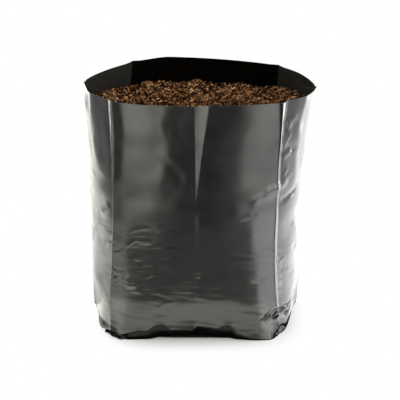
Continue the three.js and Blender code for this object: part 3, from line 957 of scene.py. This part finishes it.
def icosahedron():
    golden = (1 + math.sqrt(5)) / 2
    points = []
    for a, b in itertools.product((-1, 1), (-golden, golden)):
        points += [(0, a, b), (a, b, 0), (b, 0, a)]
    points = np.array(points, float)
    points /= np.linalg.norm(points[0])
    gaps = np.linalg.norm(points[:, None] - points[None], axis=-1)
    near = np.isclose(gaps, gaps[0, 1:].min())
    triples = itertools.combinations(range(len(points)), 3)
    faces = [facing_out(points, i, j, k) for i, j, k in triples if near[i, j] and near[j, k] and near[i, k]]
    return points, np.array(faces)


def octahedron():
    points = np.concatenate([np.eye(3), -np.eye(3)])
    faces = [facing_out(points, *corners) for corners in itertools.product((0, 3), (1, 4), (2, 5))]
    return points, np.array(faces)


def lying_turns(rng, count, tilt):
    """Rotation matrices of flat things that lie any way round, tilted at random."""
    yaw = rng.uniform(0, 2 * np.pi, size=count)
    pitch, roll = rng.normal(size=(2, count)) * tilt
    total = np.eye(3)
    for angle, first, second in ((yaw, 0, 1), (pitch, 1, 2), (roll, 0, 2)):
        turn = np.tile(np.eye(3), (count, 1, 1))
        turn[:, first, first] = turn[:, second, second] = np.cos(angle)
        turn[:, second, first] = np.sin(angle)
        turn[:, first, second] = -np.sin(angle)
        total = total @ turn
    return total


CRUMBS = {
    # name: how many, half of the length, breadth and thickness as shares of it, tilt and lift
    "coir_crumbs": (9000, (0.9, 2.5), (0.3, 0.7), (0.25, 0.5), 0.5, (-2.0, 0.6)),
    "coir_grains": (13000, (0.5, 1.2), (0.3, 0.8), (0.3, 0.6), 0.6, (-2.0, 0.7)),
}
CRUMB_JITTER = 0.2
CRUMB_EDGE_GAP = 2.0


def scatter_on_coir(rng, count, gap):
    """Random places spread evenly over the coir's top, gap inside the film."""
    outline = coir_edge(gap)
    step = np.linalg.norm(np.roll(outline, -1, axis=0) - outline, axis=1)
    middle = outline.mean(axis=0)
    arm = np.linalg.norm((outline + np.roll(outline, -1, axis=0)) / 2 - middle, axis=1)
    area = np.cumsum(step * arm)
    spread = (np.arange(count) + rng.uniform(size=count)) / count
    sector = np.searchsorted(area / area[-1], spread)
    turn = (sector + rng.uniform(size=count)) / len(outline)
    share = np.sqrt((rng.permutation(count) + rng.uniform(size=count)) / count)
    return coir_top(outline, turn, share)


def coir_crumbs(name, shape, shape_faces, material):
    count, size, flat, thin, tilt, lifts = CRUMBS[name]
    rng = np.random.default_rng([SEEDS["crumbs"], count])
    places = scatter_on_coir(rng, count, CRUMB_EDGE_GAP)
    length = rng.uniform(*size, size=count)
    breadth = length * rng.uniform(*flat, size=count)
    scale = np.stack([length, breadth, length * rng.uniform(*thin, size=count)], axis=1)
    corners = len(shape)
    points = shape[None] * (1 + CRUMB_JITTER * rng.normal(size=(count, corners, 1))) * scale[:, None]
    points = np.einsum("nij,nkj->nki", lying_turns(rng, count, tilt), points)
    places[:, 2] += rng.uniform(*lifts, size=count)
    points += places[:, None]
    faces = shape_faces[None] + corners * np.arange(count)[:, None, None]
    return make_mesh(name, points.reshape(-1, 3), faces.reshape(-1, 3).tolist(), material, False)


FIBRES = 1600
FIBRE_LENGTH = (4.0, 13.0)
FIBRE_RADIUS = (0.12, 0.24)
FIBRE_RISE = (0.2, 1.2)
FIBRE_SINK = 0.4
FIBRE_BEND = 0.25  # usual turn from step to step
FIBRE_EDGE_GAP = 7.0
FIBRE_STEPS = 7
FIBRE_SIDES = 4
FIBRE_ENDS = (0.3, 0.35)  # where on a half wave its rise and its taper start


def coir_fibres(material):
    rng = np.random.default_rng(SEEDS["fibres"])
    arch, taper = (np.sin(np.linspace(end, np.pi - end, FIBRE_STEPS)) for end in FIBRE_ENDS)
    angle = 2 * np.pi * np.arange(FIBRE_SIDES) / FIBRE_SIDES
    points = []
    faces = []
    for place in scatter_on_coir(rng, FIBRES, FIBRE_EDGE_GAP):
        heading = rng.uniform(0, 2 * np.pi)
        bend = rng.normal() * FIBRE_BEND
        step = rng.uniform(*FIBRE_LENGTH) / (FIBRE_STEPS - 1)
        radius = rng.uniform(*FIBRE_RADIUS)
        rise = rng.uniform(*FIBRE_RISE)
        headings = heading + bend * (np.arange(FIBRE_STEPS) - FIBRE_STEPS / 2)
        path = np.zeros((FIBRE_STEPS, 3))
        path[1:, 0] = np.cumsum(np.cos(headings[1:])) * step
        path[1:, 1] = np.cumsum(np.sin(headings[1:])) * step
        path -= path.mean(axis=0)
        path[:, 2] = rise * arch - FIBRE_SINK
        path += place
        faces += ring_faces(FIBRE_STEPS, FIBRE_SIDES, len(points) * FIBRE_STEPS * FIBRE_SIDES)
        side = np.stack([-np.sin(headings), np.cos(headings), np.zeros(FIBRE_STEPS)], axis=1)
        ring = side[:, None] * np.cos(angle)[None, :, None]
        ring = ring + np.array([0, 0, 1.0]) * np.sin(angle)[None, :, None]
        points.append(path[:, None] + ring * (radius * taper)[:, None, None])
    return make_mesh("coir_fibres", np.concatenate(points).reshape(-1, 3), faces, material)


# Camera, floor and light

CAMERA_PLACE = (0.0, -1.5, 0.6575)
CAMERA_AIM = (0.0, 0.0, 0.1263)
CAMERA_LENS = 125.78


def aimed(thing, place, aim):
    thing.location = place
    thing.rotation_euler = (Vector(aim) - Vector(place)).to_track_quat("-Z", "Y").to_euler()


def add_camera():
    data = bpy.data.cameras.new("camera")
    data.lens = CAMERA_LENS
    camera = add_object("camera", data)
    aimed(camera, CAMERA_PLACE, CAMERA_AIM)
    bpy.context.scene.camera = camera


def add_softbox(name, width, height, radiance, colour):
    """A soft lamp, seen in the film's gloss but not by the camera."""
    data = bpy.data.lights.new(name, "AREA")
    data.shape = "RECTANGLE"
    data.size = width
    data.size_y = height
    data.color = colour
    data.energy = radiance * math.pi * width * height
    lamp = add_object(name, data)
    lamp.visible_camera = False
    return lamp


WARM = (1.0, 1.0, 0.91)
PLAIN = (0.985, 1.0, 1.0)
SOFTBOXES = (
    # name, degrees round from the front, distance, height of its middle, width, height, radiance, colour
    ("key_left", -36.7, 1.3, 0.47, 0.82, 1.06, 3.9, WARM),
    ("key_left_low", -36, 1.3, -0.255, 0.82, 0.39, 2.4, WARM),
    ("key_right", 42, 1.3, 0.45, 0.95, 1.1, 4.1, WARM),
    ("key_right_low", 42, 1.3, -0.275, 0.95, 0.35, 2.8, PLAIN),
    ("side_right", 88, 1.3, -0.1, 1.05, 0.8, 1.7, PLAIN),
    ("side_right_high", 95, 1.3, 0.8, 0.9, 0.8, 4, PLAIN),
    ("glint_right", 47, 1.25, 0.36, 0.36, 0.24, 8, WARM),
    ("back_right", 138, 1.3, -0.35, 1.325, 0.6, 3.2, PLAIN),
    ("glint_back_right", 124, 1.25, -0.3, 0.4, 0.5, 8, PLAIN),
    ("back_left", -147.5, 1.3, -0.335, 0.92, 0.63, 6.8, WARM),
)
TOP_LIGHT = {"place": (-0.2, 0.45, 1.4), "size": 0.5, "radiance": 14.0}

# Lamps that lie on the floor round the bag, facing up: name, x, y, width, height, turn, radiance, colour
LOW_LAMPS = (
    ("low_front", 0, -0.16, 0.44, 0.06, 0, 2.6, WARM),
    ("low_front_near", 0, -0.119, 0.16, 0.022, 0, 0.5, WARM),
    ("low_front_left", -0.347, -0.206, 0.45, 0.22, 42, 1.9, WARM),
    ("low_front_right", 0.327, -0.245, 0.45, 0.25, -52, 4, PLAIN),
    ("low_left_near", -0.133, -0.05, 0.038, 0.08, 0, 2, WARM),
    ("low_left_mid", -0.136, 0.145, 0.032, 0.31, 0, 1, WARM),
    ("low_left", -0.231, 0.065, 0.158, 0.27, 0, 1.05, WARM),
    ("low_left_far", -0.405, 0.065, 0.19, 0.27, 0, 3.1, WARM),
    ("low_back_left", -0.335, 0.48, 0.33, 0.54, 0, 1.5, WARM),
    ("low_right_near", 0.1375, 0.1225, 0.065, 0.445, 0, 2, PLAIN),
    ("low_right_mid", 0.21, 0.2725, 0.08, 0.655, 0, 2.8, PLAIN),
    ("low_right", 0.425, 0.2725, 0.35, 0.655, 0, 2.8, PLAIN),
    ("low_corner_right", 0.135, -0.125, 0.08, 0.07, 45, 1.2, PLAIN),
    ("low_back_right", 0.3, 0.75, 0.6, 0.28, 0, 2.9, PLAIN),
)
LOW_LAMP_LIFT = 0.0015  # above the floor


def add_lights():
    for name, azimuth, distance, z, width, height, radiance, colour in SOFTBOXES:
        turn = math.radians(azimuth)
        lamp = add_softbox(name, width, height, radiance, colour)
        aimed(lamp, (distance * math.sin(turn), -distance * math.cos(turn), z), (0.0, 0.0, z))
    top = add_softbox("top_light", TOP_LIGHT["size"], TOP_LIGHT["size"], TOP_LIGHT["radiance"], WARM)
    aimed(top, TOP_LIGHT["place"], (0.0, 0.0, 0.0))
    for name, x, y, width, height, turn, radiance, colour in LOW_LAMPS:
        lamp = add_softbox(name, width, height, radiance, colour)
        lamp.location = (x, y, LOW_LAMP_LIFT)
        lamp.rotation_euler = (math.pi, 0.0, math.radians(turn))


WORLD_LIGHT = (0.3, 1.4)  # in front of the bag and behind it
WORLD_ENDS = (-0.5, 1.0)


def add_world():
    """White for the camera; for the light, brighter at the sides and back than in front."""
    world = bpy.data.worlds.new("studio")
    bpy.context.scene.world = world
    world.use_nodes = True
    tree = world.node_tree
    direction = tree.nodes.new("ShaderNodeTexCoord").outputs["Generated"]
    light = map_node(split_node(direction)["Y"], WORLD_ENDS, WORLD_LIGHT)
    sky = tree.nodes["Background"]
    set_sockets(sky, Color=WHITE, Strength=light)
    white = add_node(tree, "ShaderNodeBackground", Color=WHITE, Strength=1.0)
    seen = tree.nodes.new("ShaderNodeLightPath").outputs["Is Camera Ray"]
    mix_shaders(seen, sky, white, "World Output")


FLOOR_FRONT = -0.55
FLOOR_BACK = 0.9
FLOOR_HALF_WIDTH = 0.62
FLOOR_ALBEDO = 0.42
FLOOR_PALE = 0.8  # to the camera
FLOOR_DARK = 0.02  # painted shade close to the bag
FLOOR_SHADE_ENDS = (0.11, 0.16)  # from the bag's middle; the painted shade ends between them
FLOOR_CONTACT_ENDS = (0.096, 0.101)  # the same for the painted contact shadow that the camera sees
FLOOR_WHITE_ENDS = (0.1, 0.14)  # it turns white to the camera between them
FLOOR_BREADTH = 1.7  # narrows those two
FLOOR_POWER = 4.0  # makes these shades rounded squares


def floor_distance(across, deep):
    return math_node("POWER", math_node("ADD", across, deep), 1 / FLOOR_POWER)


def floor_material():
    """A pale floor: white to the camera except in the bag's shadow, and with painted shade close to the
    bag.
    """
    material, shader, place = new_material("pale_floor")
    tree = material.node_tree
    split = split_node(place)
    sides = [math_node("ABSOLUTE", split[axis]) for axis in "XY"]
    across, deep = (math_node("POWER", side, FLOOR_POWER) for side in sides)
    away = floor_distance(across, deep)
    clear = floor_distance(math_node("MULTIPLY", across, FLOOR_BREADTH), deep)
    seen = tree.nodes.new("ShaderNodeLightPath").outputs["Is Camera Ray"]
    # painted shade close to the bag, and a painted contact shadow under it for the camera
    shade = map_node(away, FLOOR_SHADE_ENDS, (FLOOR_DARK, FLOOR_ALBEDO))
    contact = map_node(clear, FLOOR_CONTACT_ENDS, (FLOOR_DARK, FLOOR_PALE))
    albedo = math_node("MAXIMUM", shade, math_node("MULTIPLY", seen, contact))
    set_sockets(shader, Base_Color=albedo, Roughness=0.9, Specular_IOR_Level=0.0)
    white = add_node(tree, "ShaderNodeEmission", Color=WHITE, Strength=1.0)
    glow = math_node("MULTIPLY", seen, map_node(clear, FLOOR_WHITE_ENDS))
    mix_shaders(glow, shader, white, "Material Output")
    return material


def add_floor():
    ends = ((-1, FLOOR_FRONT), (1, FLOOR_FRONT), (1, FLOOR_BACK), (-1, FLOOR_BACK))
    corners = [(side * FLOOR_HALF_WIDTH, y, 0.0) for side, y in ends]
    floor = make_mesh("floor", np.array(corners) / MM, [(0, 1, 2, 3)], floor_material())


# The scene

add_camera()
add_world()
add_lights()
add_floor()
bpy.context.scene.view_settings.view_transform = "Standard"

bag = film_bag(film_material())
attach(bag, "root")
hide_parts("film_bag")

crumb_finish = coir_material()
coir_pieces = (
    coir_bed(bed_material()),
    coir_crumbs("coir_crumbs", *icosahedron(), crumb_finish),
    coir_crumbs("coir_grains", *octahedron(), crumb_finish),
    coir_fibres(crumb_finish),
)
for piece in coir_pieces:
    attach(piece, "root")
    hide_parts("coir_fill")
